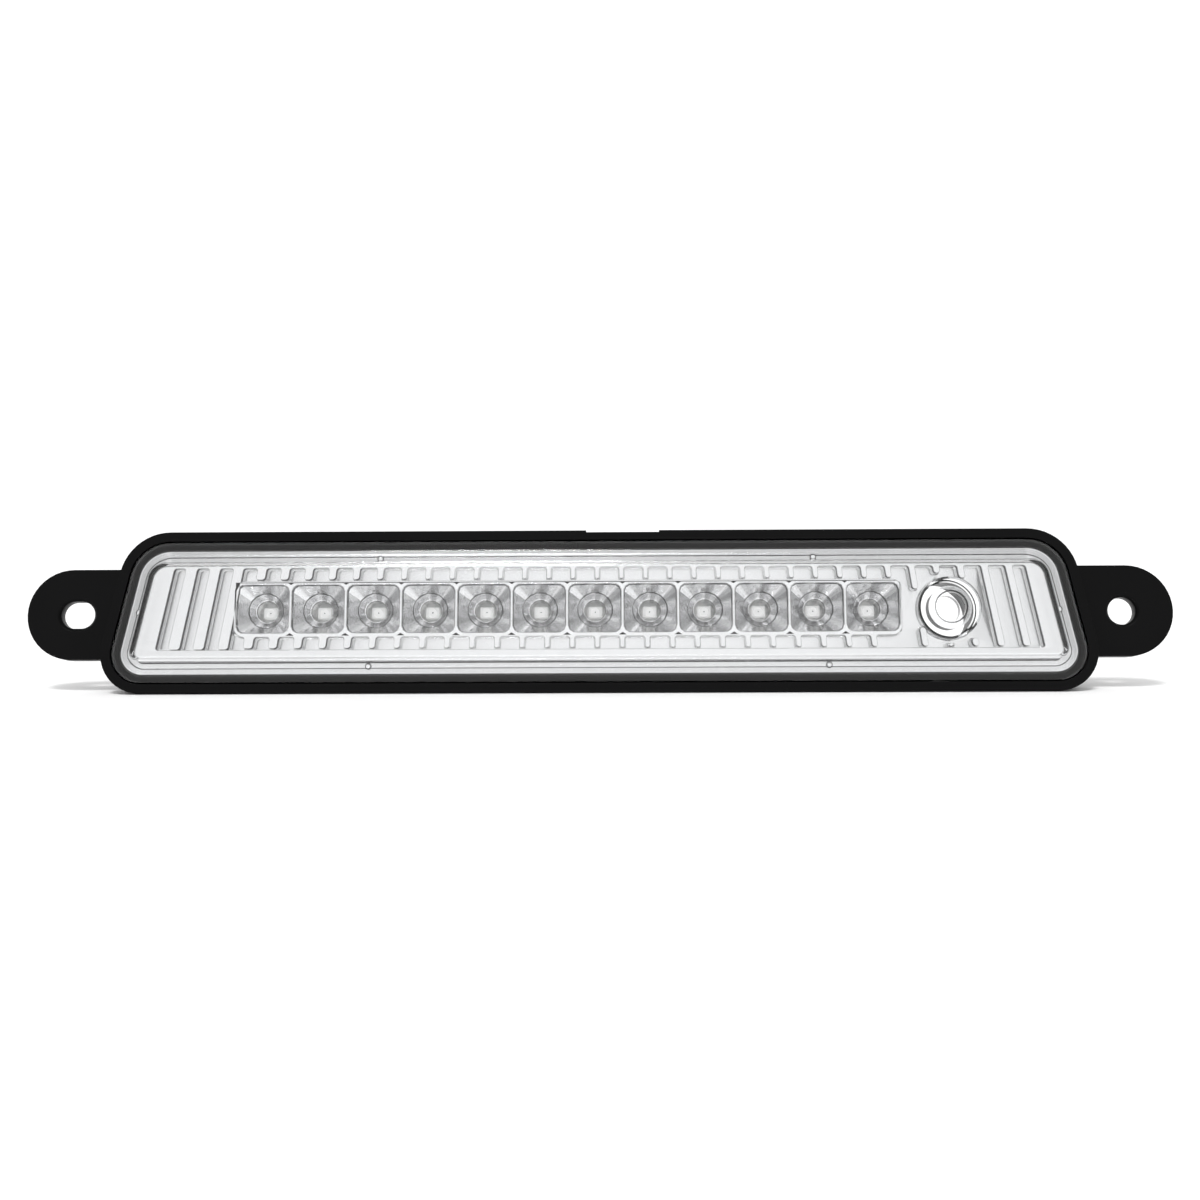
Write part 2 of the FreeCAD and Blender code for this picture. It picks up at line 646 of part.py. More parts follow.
def make_vent():
    """Breathing membrane over the vent hole, under a slotted cap."""
    keep("vent_membrane", rod(VENT_X, "row_line", f"{TUB_REAR} - vent_disc_depth",
                              "vent_disc / 2", "vent_disc_depth"))
    cap = rod(VENT_X, "row_line", TUB_REAR, "vent_cap / 2", "vent_cap_height")
    room = rod(VENT_X, "row_line", TUB_REAR, "vent_disc / 2 + fit_gap",
               "vent_cap_height - vent_cap_roof")
    across = box(f"{VENT_X} - vent_cap", TUB_REAR, "row_line - vent_slot_width / 2",
                 "2 * vent_cap", "vent_slot_depth", "vent_slot_width")
    upright = box(f"{VENT_X} - vent_slot_width / 2", TUB_REAR, "row_line - vent_cap",
                  "vent_slot_width", "vent_slot_depth", "2 * vent_cap")
    keep("vent_cap", cut(cap, room, across, upright))


# how far the lens's inner bevel stands inside its outer one, for an even wall
BEVEL_SHIFT = ("(lens_wall / sin(atan((lens_rise + flange_recess) / bevel_width))"
               " - flange_thickness * bevel_width / (lens_rise + flange_recess))")

make_housing()
make_lens()
make_sealant()
make_gasket()
make_bezel()
make_reflector()
make_board()
make_leds()
make_board_parts()
make_screws()
make_port_seal()
make_vent()
doc.recompute()

faults = [item.Name for item in doc.Objects if {"Invalid", "Error"} & set(item.State)]
for name, item in parts.items():
    shape = item.Shape
    if shape.isNull() or not shape.isValid() or not shape.Solids:
        faults.append(name)
if faults:
    raise RuntimeError("faulty objects: " + ", ".join(faults))

os.makedirs("parts", exist_ok=True)
for name, item in parts.items():
    item.Shape.exportStep(f"parts/{name}.step")
    extent = item.Shape.BoundBox
    print(f"{name}: {len(item.Shape.Solids)} solid(s), {item.Shape.Volume:.1f} mm3, "
          f"{extent.XLength:.1f} x {extent.YLength:.1f} x {extent.ZLength:.1f}")
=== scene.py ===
import math

import bmesh
import bpy
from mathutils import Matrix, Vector
from mathutils.geometry import tessellate_polygon


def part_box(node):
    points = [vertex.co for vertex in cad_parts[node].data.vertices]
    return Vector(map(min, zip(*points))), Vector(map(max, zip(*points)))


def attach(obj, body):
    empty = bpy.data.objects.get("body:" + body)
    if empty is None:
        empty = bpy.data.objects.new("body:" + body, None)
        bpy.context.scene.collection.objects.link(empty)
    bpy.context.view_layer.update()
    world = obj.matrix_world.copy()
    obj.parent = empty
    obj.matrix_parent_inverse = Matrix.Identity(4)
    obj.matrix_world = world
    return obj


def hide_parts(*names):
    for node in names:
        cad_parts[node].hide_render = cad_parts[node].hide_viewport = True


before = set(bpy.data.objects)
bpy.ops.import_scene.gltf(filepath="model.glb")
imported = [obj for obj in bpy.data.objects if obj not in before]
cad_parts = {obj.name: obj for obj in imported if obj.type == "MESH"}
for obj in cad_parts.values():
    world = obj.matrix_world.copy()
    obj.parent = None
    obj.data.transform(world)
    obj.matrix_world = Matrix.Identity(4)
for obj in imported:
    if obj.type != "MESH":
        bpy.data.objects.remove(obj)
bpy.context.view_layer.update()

MM = 0.001


def node_box(name):
    """A frame node's lowest and highest corners, in millimetres."""
    low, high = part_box(name)
    return low / MM, high / MM


# ---------------------------------------------------------------- sizes, in millimetres

REAR_LOW, REAR_HIGH = node_box("rear_housing")
LENS_LOW, LENS_HIGH = node_box("lens")
BEZEL_LOW = node_box("bezel")[0]
ROW_LOW, ROW_HIGH = node_box("led_reflector")
SEAL_LOW, SEAL_HIGH = node_box("port_seal")

# the rim's outline
BODY_HEIGHT = REAR_HIGH.z - REAR_LOW.z
BODY_MID_WIDTH = 239.8
END_SLANT = math.radians(12.0)
CORNER_TOP = 12.5
CORNER_BOTTOM = 10.0
INNER_CORNER = 1.6

# the lens: insets are from the rim's outline, and levels run from the front to the rear
RIM_PROUD = 0.5
FLANGE_THICK = 2.0
FLANGE_OUTER = 2.5
FLANGE_INNER = 4.8
FLANGE_FRONT = REAR_LOW.y + RIM_PROUD
FLANGE_REAR = FLANGE_FRONT + FLANGE_THICK
LENS_WALL = 2.0
PLATEAU_EDGE = 8.1
PLATEAU_FRONT = LENS_LOW.y
PLATEAU_REAR = PLATEAU_FRONT + LENS_WALL
PLATEAU_MARGIN = 1.2
BEVEL_INNER_EDGE = 8.87
BEVEL_INNER_FOOT = 5.57
BEVEL_INNER_MARGIN = 1.0

# the washer port in the lens
PORT_X = (SEAL_LOW.x + SEAL_HIGH.x) / 2
PORT_Z = (SEAL_LOW.z + SEAL_HIGH.z) / 2
PORT_REAR = LENS_HIGH.y
PORT_MOUTH = 3.7
PORT_BORE = 5.3
PORT_TUBE = 7.1
PORT_FLOOR = 2.0
PORT_FLAT = 2.7
PORT_LIP = 0.35
PORT_FILLET = 0.5
PORT_CLEAR = PORT_TUBE + 1.7

# the bezel and its fan of flutes
BEZEL_FRONT = BEZEL_LOW.y
BEZEL_EDGE = 5.05
BEZEL_FOOT = FLANGE_REAR + 0.6
BEZEL_CREST = 8.35
BEZEL_SEAT = -1.7
FLUTE_DEPTH = 2.4
FLUTE_FLOOR = BEZEL_FRONT + FLUTE_DEPTH
FLUTE_TOP = 10.9
FLUTE_BOTTOM = -9.5
FLUTE_END = 108.85
FLUTE_COUNT = 36
FAN_HEIGHT = 540.0
LEFT_DRAWN_IN = 0.0085
FIELD_LEFT = 1.5 - FLUTE_END
FIELD_RIGHT = FLUTE_END - 1.8
FIELD_CORNER = 0.8
RIB_WIDTH = 1.0
RIB_SPREAD_LEFT = 2.0
RIB_SPREAD_RIGHT = 0.7
RIB_ROUND = 0.6
RIB_ROOT = 0.75
RIB_GAP = 0.5
RIB_GAP_LEFT = 0.25

# the row of cells, its collar, and how far ribs keep from its ends and corners
CELL_COUNT = 12
CELL_PITCH = (ROW_HIGH.x - ROW_LOW.x) / CELL_COUNT
ROW_Z = (ROW_LOW.z + ROW_HIGH.z) / 2
ROW_HALF = (ROW_HIGH.z - ROW_LOW.z) / 2
ROW_COLLAR = 0.25
ROW_CORNER = 2.4
ROW_MARGIN = 0.4
ROW_CORNER_CLEAR = 3.4

# what counts as one point when meshes are welded, in metres
SKIN_WELD = 1e-7
FRAME_WELD = 1e-5


# ---------------------------------------------------------------- shader maths

class Signal:
    """A shader socket that adds Math nodes when it is used in an expression."""

    def __init__(self, finish, socket):
        self.finish = finish
        self.socket = socket

    def _join(self, operation, first, second):
        return self.finish.node("Math", {"operation": operation}, {0: first, 1: second})

    def __add__(self, other):
        return self._join("ADD", self, other)

    def __radd__(self, other):
        return self._join("ADD", other, self)

    def __sub__(self, other):
        return self._join("SUBTRACT", self, other)

    def __rsub__(self, other):
        return self._join("SUBTRACT", other, self)

    def __mul__(self, other):
        return self._join("MULTIPLY", self, other)

    def __rmul__(self, other):
        return self._join("MULTIPLY", other, self)

    def over(self, level):
        return self._join("GREATER_THAN", self, level)


class Finish:
    """The shader nodes of a material or of the studio's surroundings."""

    def __init__(self, name, kind="materials", coordinates="Object"):
        self.owner = getattr(bpy.data, kind).new(name)
        self.owner.use_nodes = True
        self.tree = self.owner.node_tree
        self.tree.nodes.clear()
        self.place = self.node("TexCoord", output=coordinates)

    def node(self, kind, settings=None, sockets=None, output=0):
        """Add one node: its settings first, then its sockets' values or links."""
        made = self.tree.nodes.new("ShaderNode" + kind)
        for key, value in (settings or {}).items():
            setattr(made, key, value)
        for key, value in (sockets or {}).items():
            if isinstance(value, Signal):
                self.tree.links.new(value.socket, made.inputs[key])
            else:
                made.inputs[key].default_value = value
        return Signal(self, made.outputs[output]) if len(made.outputs) else None

    def spread(self, scale):
        """The object's own coordinates, scaled along each axis."""
        return self.node("Mapping", None, {"Vector": self.place, "Scale": scale})

    def noise(self, size_mm, detail=2.0, roughness=0.5, stretch=(1, 1, 1)):
        """Soft noise whose grains are about size_mm across."""
        mapped = self.spread([axis / (size_mm * MM) for axis in stretch])
        return self.node("TexNoise", None, {"Vector": mapped, "Scale": 1.0,
                                            "Detail": detail, "Roughness": roughness})

    def cells(self, size_mm, feature="F1"):
        """Small cells about size_mm across, as the distance within each."""
        mapped = self.spread([1 / (size_mm * MM)] * 3)
        return self.node("TexVoronoi", {"feature": feature},
                         {"Vector": mapped, "Scale": 1.0}, output="Distance")

    def mix(self, factor, first, second):
        """A colour between two colours."""
        ends = [end if isinstance(end, Signal) else (*end, 1.0)
                for end in (first, second)]
        return self.node("Mix", {"data_type": "RGBA"},
                         {0: factor, 6: ends[0], 7: ends[1]}, output=2)

    def bump(self, height, depth_mm):
        return self.node("Bump", None, {"Height": height, "Distance": depth_mm * MM})

    def end(self, shader, kind="OutputMaterial"):
        self.node(kind, None, {"Surface": shader})
        return self.owner

    def close(self, **sockets):
        """Finish with one Principled shader."""
        named = {key.replace("_", " "): value for key, value in sockets.items()}
        return self.end(self.node("BsdfPrincipled", None, named))


# ---------------------------------------------------------------- finishes

HOUSING_DARK = (0.0012, 0.0012, 0.0013)
HOUSING_LIGHT = (0.0026, 0.0026, 0.0028)
SMALL_PART_DARK = (0.012, 0.012, 0.012)
SMALL_PART_LIGHT = (0.02, 0.02, 0.02)
LENS_TINT = (0.975, 0.98, 0.985, 1.0)
# painted shade: the dark that the metal film's colour is mixed towards, standing in for
# dark reflections and shade
PAINTED_SHADE_DARK = (0.03, 0.03, 0.032)
BEZEL_BRIGHT = (0.93, 0.93, 0.93)
BEZEL_DULL = (0.88, 0.88, 0.885)
CELL_BRIGHT = (1.0, 1.0, 1.0)
CELL_DULL = (0.88, 0.88, 0.89)
PACKAGE_WHITE = ((0.93, 0.93, 0.92), (0.97, 0.97, 0.96))
FILLING_WHITE = ((0.86, 0.86, 0.85), (0.95, 0.95, 0.94))
# painted light: the colour of the LEDs' faint glow, standing in for scattered studio
# light
LED_PAINTED_LIGHT = (1.0, 1.0, 0.99, 1.0)
DIE_GREY = ((0.16, 0.16, 0.17), (0.3, 0.3, 0.3))
FOAM_BLACK = ((0.006, 0.006, 0.007), (0.02, 0.02, 0.021))
SEALANT_BLACK = (0.006, 0.006, 0.007)
RUBBER_BLACK = (0.008, 0.008, 0.008)
TIN_BRIGHT = (0.78, 0.77, 0.74)
TIN_DULL = (0.6, 0.6, 0.58)
ZINC_BRIGHT = (0.7, 0.71, 0.73)
ZINC_DULL = (0.5, 0.51, 0.55)
MASK_WHITE = ((0.76, 0.77, 0.76), (0.9, 0.9, 0.89))
RESISTOR_GLAZE = (0.02, 0.02, 0.022)
CAPACITOR_TAN = (0.4, 0.26, 0.14)
MEMBRANE_WHITE = ((0.62, 0.62, 0.6), (0.85, 0.85, 0.84))
WEAVE_PER_METRE = 2600.0


def moulded_black(name, dark, light, rough, gloss):
    """Black moulded plastic: faint clouding, a fine eroded grain, soft gloss."""
    finish = Finish(name)
    cloud = finish.noise(size_mm=18.0, detail=3.0)
    grain = finish.noise(size_mm=0.22, detail=3.0, roughness=0.6)
    scuff = finish.noise(size_mm=2.5, detail=4.0, roughness=0.65,
                         stretch=(1.0, 1.0, 5.0))
    return finish.close(
        Base_Color=finish.mix(cloud, dark, light),
        Roughness=rough + (cloud - 0.5) * 0.10 + (scuff - 0.5) * 0.12,
        Specular_IOR_Level=gloss,
        Normal=finish.bump(grain, depth_mm=0.006),
    )


def clear_plastic():
    """Clear polished lens plastic with the slightest flow waviness."""
    finish = Finish("clear_lens_plastic")
    flow = finish.noise(size_mm=9.0, detail=1.0, roughness=0.4,
                        stretch=(0.35, 1.0, 1.0))
    return finish.close(
        Base_Color=LENS_TINT,
        Transmission_Weight=1.0,
        IOR=1.49,
        Roughness=0.004 + flow * 0.012,
        Normal=finish.bump(flow, depth_mm=0.004),
    )


def metallised(name, bright, dull, rough, ripple_mm, ripple_depth, haze_mm):
    """Metallised plastic: a bright film, darkened by painted shade and painted dark
    reflections where the mesh's painted-shade attribute is high.
    """
    finish = Finish(name)
    painted_dark = finish.node("Attribute", {"attribute_name": "painted_shade"}, output="Fac")
    haze = finish.noise(haze_mm, detail=4.0, roughness=0.6)
    ripple = finish.noise(ripple_mm)
    pits = finish.noise(size_mm=0.18)
    film = finish.mix(haze, dull, bright)
    return finish.close(
        # painted shade: the film's colour is darkened where the painted-shade attribute
        # says, standing in for dark reflections and shade
        Base_Color=finish.mix(painted_dark, film, PAINTED_SHADE_DARK),
        Metallic=1.0,
        Roughness=rough + (haze - 0.5) * 0.08 + (pits - 0.5) * 0.03 + painted_dark * 0.12,
        Normal=finish.bump(ripple, ripple_depth),
    )


def led_white():
    """The white plastic of an LED's package, with a faint painted glow standing in for
    scattered studio light, so it is bright even at the bottom of its cell.
    """
    finish = Finish("led_white_package")
    speck = finish.noise(size_mm=0.25, detail=3.0)
    return finish.close(
        Base_Color=finish.mix(speck, *PACKAGE_WHITE),
        Roughness=0.38 + (speck - 0.5) * 0.2,
        # painted light: a faint glow standing in for scattered studio light
        Emission_Strength=0.3,
        Emission_Color=LED_PAINTED_LIGHT,
        Normal=finish.bump(speck, depth_mm=0.004),
    )


def led_filling():
    """The glossy resin that fills an LED's cup, with a faint painted glow standing in
    for scattered studio light.
    """
    finish = Finish("led_clear_filling")
    swirl = finish.noise(size_mm=0.5)
    return finish.close(
        Base_Color=finish.mix(swirl, *FILLING_WHITE),
        Roughness=0.12 + swirl * 0.06,
        Coat_Weight=0.6,
        # painted light: a faint glow standing in for scattered studio light
        Emission_Strength=0.4,
        Emission_Color=LED_PAINTED_LIGHT,
        Normal=finish.bump(swirl, depth_mm=0.003),
    )


def led_die():
    finish = Finish("led_die")
    pad = finish.cells(size_mm=0.2)
    return finish.close(
        Base_Color=finish.mix(pad, *DIE_GREY),
        Roughness=0.3 + pad * 0.2,
        Metallic=0.4,
    )


def foam():
    """Black closed-cell foam with open cut pores."""
    finish = Finish("gasket_foam")
    pores = finish.cells(size_mm=0.7)
    fine = finish.noise(size_mm=0.3, detail=4.0, roughness=0.7)
    return finish.close(
        Base_Color=finish.mix(pores, *FOAM_BLACK),
        Roughness=0.86 + (fine - 0.5) * 0.15,
        Specular_IOR_Level=0.15,
        Normal=finish.bump(pores + fine * 0.4, depth_mm=0.10),
    )


def rubber(name, colour):
    """Black rubber or sealant with a pale bloom."""
    finish = Finish(name)
    bloom = finish.noise(size_mm=1.2, detail=4.0, roughness=0.6)
    bloomed = [channel * 1.8 + 0.004 for channel in colour]
    return finish.close(
        Base_Color=finish.mix(bloom, colour, bloomed),
        Roughness=0.6 + (bloom - 0.5) * 0.25,
        Specular_IOR_Level=0.3,
        Normal=finish.bump(bloom, depth_mm=0.02),
    )


def metal(name, bright, dull, rough, stretch):
    """Plated metal, brushed along one way where it is stretched."""
    finish = Finish(name)
    brush = finish.noise(size_mm=0.15, detail=3.0, roughness=0.6, stretch=stretch)
    patch = finish.noise(size_mm=1.5, detail=3.0)
    return finish.close(
        Base_Color=finish.mix(patch, dull, bright),
        Metallic=1.0,
        Roughness=rough + (brush - 0.5) * 0.2,
        Normal=finish.bump(brush, depth_mm=0.006),
    )


def solder_mask():
    """White solder mask over copper tracks, which stand up a little under it."""
    finish = Finish("board_solder_mask")
    weave = finish.noise(size_mm=0.35, stretch=(1.0, 1.0, 3.0))
    tracks = finish.cells(3.4, "DISTANCE_TO_EDGE").over(0.12)
    return finish.close(
        Base_Color=finish.mix(tracks, *MASK_WHITE),
        Roughness=0.35 + weave * 0.1,
        Normal=finish.bump(tracks * 0.6 + weave * 0.2, depth_mm=0.03),
    )


def ceramic(name, colour):
    """Speckled glaze of a small electrical part."""
    finish = Finish(name)
    speck = finish.noise(size_mm=0.3, detail=3.0, roughness=0.6)
    lighter = [min(1, channel * 1.3) for channel in colour]
    return finish.close(
        Base_Color=finish.mix(speck, colour, lighter),
        Roughness=0.42 + (speck - 0.5) * 0.2,
        Normal=finish.bump(speck, depth_mm=0.008),
    )


def membrane_weave():
    """The vent's white membrane, woven across and up."""
    finish = Finish("membrane_weave")
    mapped = finish.spread([WEAVE_PER_METRE] * 3)
    across, up = (finish.node("TexWave", {"bands_direction": axis},
                              {"Vector": mapped, "Scale": 1.0}) for axis in "XZ")
    return finish.close(
        Base_Color=finish.mix(across * up, *MEMBRANE_WHITE),
        Roughness=0.8,
        Normal=finish.bump(across + up, depth_mm=0.03),
    )


# ---------------------------------------------------------------- mesh building

class Skin:
    """A mesh built from closed loops, joined by bands and closed by flat fills."""

    def __init__(self):
        self.points = []
        self.faces = []
        self.painted_dark = []

    def loop(self, outline, y, painted_dark=0.0):
        """Add a loop at one level, with the painted shade there, from 0 to 1."""
        first = len(self.points)
        self.points.extend((x, y, z) for x, z in outline)
        self.painted_dark.extend(painted_dark if isinstance(painted_dark, list) else [painted_dark] * len(outline))
        return list(range(first, len(self.points)))

    def band(self, front, rear):
        count = len(front)
        for index in range(count):
            onward = (index + 1) % count
            self.faces.append((front[index], front[onward], rear[onward], rear[index]))

    def bands(self, loops):
        for front, rear in zip(loops, loops[1:]):
            self.band(front, rear)

    def fill(self, outer, *holes):
        """Close the flat space between an outer loop and the loops inside it."""
        order = [index for ring in (outer, *holes) for index in ring]
        rings = [[Vector((self.points[i][0], self.points[i][2], 0)) for i in ring]
                 for ring in (outer, *holes)]
        for face in tessellate_polygon(rings):
            self.faces.append(tuple(order[corner] for corner in face))

    def make(self, name, finish, sharp=32.0):
        """Turn the loops and faces into an object, with edges kept above an angle."""
        mesh = bpy.data.meshes.new(name)
        scaled = [(x * MM, y * MM, z * MM) for x, y, z in self.points]
        mesh.from_pydata(scaled, [], self.faces)
        # painted shade: stored on the mesh as the attribute that darkens the metal
        # film's colour
        if any(self.painted_dark):
            layer = mesh.attributes.new("painted_shade", "FLOAT", "POINT")
            layer.data.foreach_set("value", self.painted_dark)
        item = bpy.data.objects.new(name, mesh)
        bpy.context.collection.objects.link(item)
        settle(mesh, sharp)
        mesh.materials.append(finish)
        return item


def settle(mesh, sharp):
    """Face every surface outward and smooth it, keeping edges sharper than an angle."""
    work = bmesh.new()
    work.from_mesh(mesh)
    bmesh.ops.remove_doubles(work, verts=work.verts, dist=SKIN_WELD)
    bmesh.ops.recalc_face_normals(work, faces=work.faces)
    work.to_mesh(mesh)
    work.free()
    mesh.shade_smooth()
    mesh.set_sharp_from_angle(angle=math.radians(sharp))


def rounded(corners, radii, steps=10):
    """The points of a polygon whose corners are rounded, in order."""
    points = []
    count = len(corners)
    for index in range(count):
        corner = Vector(corners[index])
        inward = (Vector(corners[index - 1]) - corner).normalized()
        onward = (Vector(corners[(index + 1) % count]) - corner).normalized()
        half_turn = inward.angle(onward) / 2
        radius = radii[index]
        middle = (inward + onward).normalized()
        centre = corner + middle * (radius / math.sin(half_turn))
        start = corner + inward * (radius / math.tan(half_turn)) - centre
        end = corner + onward * (radius / math.tan(half_turn)) - centre
        sweep = start.angle_signed(end)
        for step in range(steps + 1):
            turn = -sweep * step / steps
            x = start.x * math.cos(turn) - start.y * math.sin(turn)
            z = start.x * math.sin(turn) + start.y * math.cos(turn)
            points.append((centre.x + x, centre.y + z))
    return points


def rectangle(left, right, low, high, corner, steps):
    """A rectangle with rounded corners."""
    corners = [(right, low), (right, high), (left, high), (left, low)]
    return rounded(corners, [corner] * 4, steps)


def rim_loop(inset):
    """The rim's outline, moved inward by an inset."""
    high = BODY_HEIGHT / 2 - inset
    low = -high
    middle = BODY_MID_WIDTH / 2 - inset / math.cos(END_SLANT)
    lean = math.tan(END_SLANT)
    corners = [(middle - low * lean, low), (middle - high * lean, high),
               (-middle + high * lean, high), (-middle + low * lean, low)]
    top = max(CORNER_TOP - inset, INNER_CORNER)
    bottom = max(CORNER_BOTTOM - inset, INNER_CORNER)
    return rounded(corners, (bottom, top, top, bottom))


def ring(x, z, radius, count=64, flat=None):
    """A circle, with a flat a given way below its centre if asked."""
    points = []
    for index in range(count):
        turn = 2 * math.pi * (index + 0.5) / count
        height = radius * math.sin(turn)
        if flat is not None:
            height = max(height, -flat)
        points.append((x + radius * math.cos(turn), z + height))
    return points


def port_ring(radius, flat=None):
    return ring(PORT_X, PORT_Z, radius, flat=flat)


def arc(x, z, radius, start, end, steps=8):
    """Points of an arc between two angles in degrees."""
    points = []
    for step in range(steps + 1):
        turn = math.radians(start + (end - start) * step / steps)
        points.append((x + radius * math.cos(turn), z + radius * math.sin(turn)))
    return points


SOFTEN_STEPS = 4
LONGEST_SOFTENING = 0.45


def soften(section):
    """Round the corners of an open section, given as inset, level and rounding."""
    result = []
    for index, (inset, y, radius) in enumerate(section):
        if not radius:
            result.append((inset, y))
            continue
        corner = Vector((inset, y))
        before = Vector(section[index - 1][:2]) - corner
        after = Vector(section[index + 1][:2]) - corner
        reach_before = min(radius, before.length * LONGEST_SOFTENING)
        reach_after = min(radius, after.length * LONGEST_SOFTENING)
        start = corner + before.normalized() * reach_before
        end = corner + after.normalized() * reach_after
        for step in range(SOFTEN_STEPS + 1):
            part = step / SOFTEN_STEPS
            rest = 1 - part
            point = start * rest ** 2 + corner * 2 * part * rest + end * part ** 2
            result.append((point.x, point.y))
    return result


# ---------------------------------------------------------------- lens

# sections from front to rear: inset, level, rounding
LENS_OUTSIDE = (
    (FLANGE_OUTER, FLANGE_REAR, 0.0),
    (FLANGE_OUTER, FLANGE_FRONT, 0.35),
    (FLANGE_INNER, FLANGE_FRONT, 0.35),
    (PLATEAU_EDGE, PLATEAU_FRONT, 0.4),
    (PLATEAU_EDGE + PLATEAU_MARGIN, PLATEAU_FRONT, 0.0),
)
LENS_INSIDE = (
    (BEVEL_INNER_EDGE + BEVEL_INNER_MARGIN, PLATEAU_REAR, 0.0),
    (BEVEL_INNER_EDGE, PLATEAU_REAR, 0.3),
    (BEVEL_INNER_FOOT, FLANGE_REAR, 0.2),
    (FLANGE_OUTER, FLANGE_REAR, 0.0),
)
# the port's tube, through its mouth and back along its outside: radius, level, flat
PORT_SECTION = (
    (PORT_MOUTH + PORT_LIP, PLATEAU_FRONT, None),
    (PORT_MOUTH, PLATEAU_FRONT + PORT_LIP, None),
    (PORT_MOUTH, PLATEAU_REAR, None),
    (PORT_BORE, PLATEAU_REAR, None),
    (PORT_BORE, PORT_REAR - PORT_FLOOR, None),
    (PORT_MOUTH, PORT_REAR - PORT_FLOOR, PORT_FLAT),
    (PORT_MOUTH, PORT_REAR, PORT_FLAT),
    (PORT_TUBE - PORT_LIP, PORT_REAR, None),
    (PORT_TUBE, PORT_REAR - PORT_LIP, None),
    (PORT_TUBE, PLATEAU_REAR + PORT_FILLET, None),
    (PORT_TUBE + PORT_FILLET, PLATEAU_REAR, None),
)


def build_lens(finish):
    """The lens as one closed skin: flange, bevel, flat front, and the port's tube."""
    skin = Skin()
    front = [skin.loop(rim_loop(inset), y) for inset, y in soften(LENS_OUTSIDE)]
    rear = [skin.loop(rim_loop(inset), y) for inset, y in soften(LENS_INSIDE)]
    skin.bands(front)
    skin.bands(rear)
    tube = [skin.loop(port_ring(radius, flat), y) for radius, y, flat in PORT_SECTION]
    skin.bands(tube)
    skin.fill(front[-1], tube[0])
    skin.fill(rear[0], tube[-1])
    return skin.make("clear_lens", finish)


# ---------------------------------------------------------------- bezel

# the frame round the field, from its outer edge: inset, level, painted shade on the
# film
FRAME_SECTION = (
    (BEZEL_EDGE + 1.2, BEZEL_SEAT, 0.0),
    (BEZEL_EDGE, BEZEL_SEAT, 0.0),
    (BEZEL_EDGE, BEZEL_FOOT + 0.3, 0.0),
    (BEZEL_EDGE + 0.1, BEZEL_FOOT + 0.08, 0.1),
    (BEZEL_EDGE + 0.35, BEZEL_FOOT, 0.26),
    (BEZEL_CREST - 1.75, BEZEL_FOOT, 0.22),
    (BEZEL_CREST - 1.68, BEZEL_FOOT - 0.02, 0.8),
    (BEZEL_CREST - 1.5, BEZEL_FOOT - 0.14, 0.6),
    (BEZEL_CREST - 1.4, BEZEL_FOOT - 0.18, 0.22),
    (BEZEL_CREST - 0.45, BEZEL_FOOT - 0.2, 0.28),
    (BEZEL_CREST - 0.3, BEZEL_FOOT - 0.22, 0.8),
    (BEZEL_CREST - 0.06, BEZEL_FOOT - 0.5, 0.9),
    (BEZEL_CREST, BEZEL_FRONT + 0.3, 0.7),
    (BEZEL_CREST + 0.08, BEZEL_FRONT + 0.06, 0.3),
    (BEZEL_CREST + 0.3, BEZEL_FRONT, 0.0),
)
# the painted shade is weaker round the frame's ends
FRAME_END = BODY_MID_WIDTH / 2 - 14
FRAME_END_SHARE = 0.4

# a pocket's wall, from its front edge: how far out, level, painted shade standing in
# for dark reflections (None is its foot)
WALL = (
    (-0.05, BEZEL_FRONT, 0.0),
    (0.03, BEZEL_FRONT + 0.07, 0.4),
    (0.05, BEZEL_FRONT + 0.16, 1.0),
    (0.07, BEZEL_FRONT + 1.3, 1.0),
    (0.09, BEZEL_FRONT + 1.5, 0.12),
    (0.13, FLUTE_FLOOR - 0.3, 0.08),
    (0.2, FLUTE_FLOOR - 0.08, 0.05),
    (0.34, FLUTE_FLOOR, None),
)
FACES_IN = 1
FACES_OUT = -1

# where the walls' edges start to show painted shade, and where it is full
QUIET_HALF = 40.0
CRISP_HALF = 62.0
# shares of a wall's painted shade: any wall, one that faces the middle, one that faces
# down
WALL_ANY = 0.4
WALL_INWARD = 0.6
WALL_UNDER = 0.4
WALL_UNDER_FADE = 0.1
# the same for the floor along a wall's foot, painted as the dark wall's reflection
FOOT_ANY = 0.01
FOOT_INWARD_LEFT = 0.25
FOOT_INWARD_RIGHT = 0.1
FOOT_INWARD_POWER = 1.5
FOOT_UNDER = 0.03

# the port's collar: how far outside the tube, level, painted shade
COLLAR_SECTION = (
    (0.15, FLUTE_FLOOR + 1.0, 1.0),
    (0.15, BEZEL_FRONT + 0.2, 1.0),
    (0.2, BEZEL_FRONT, 1.0),
    (0.55, BEZEL_FRONT, 0.9),
    (0.6, BEZEL_FRONT, 0.1),
    (0.64, BEZEL_FRONT + 0.1, 0.1),
    (0.67, FLUTE_FLOOR - 0.5, 0.4),
    (0.7, FLUTE_FLOOR - 0.1, 0.3),
    (0.95, FLUTE_FLOOR, 0.05),
)
WINDOW_CORNER = 0.05
WINDOW_LEVELS = (BEZEL_FRONT, FLUTE_FLOOR + 1.0)

# a locating pip: radius, level above the frame's foot, painted shade
PIP_SECTION = (
    (0.85, 0.3, 0.9),
    (0.8, -0.45, 0.9),
    (0.62, -0.6, 0.7),
    (0.5, -0.66, 0.0),
    (0.25, -0.7, 0.0),
)
PIP_INSET = BEZEL_EDGE + 2.2
PIPS_ABOVE = (-53.7, 53.3)
PIPS_BELOW = (-56.3, 56.7)


def fan(u, z):
    """The place of a point in the fan, where u is its X on the centre line."""
    drawn_in = LEFT_DRAWN_IN * (u / FLUTE_END) ** 2 if u < 0 else 0.0
    return u * (1 - drawn_in) * (1 - z / FAN_HEIGHT), z


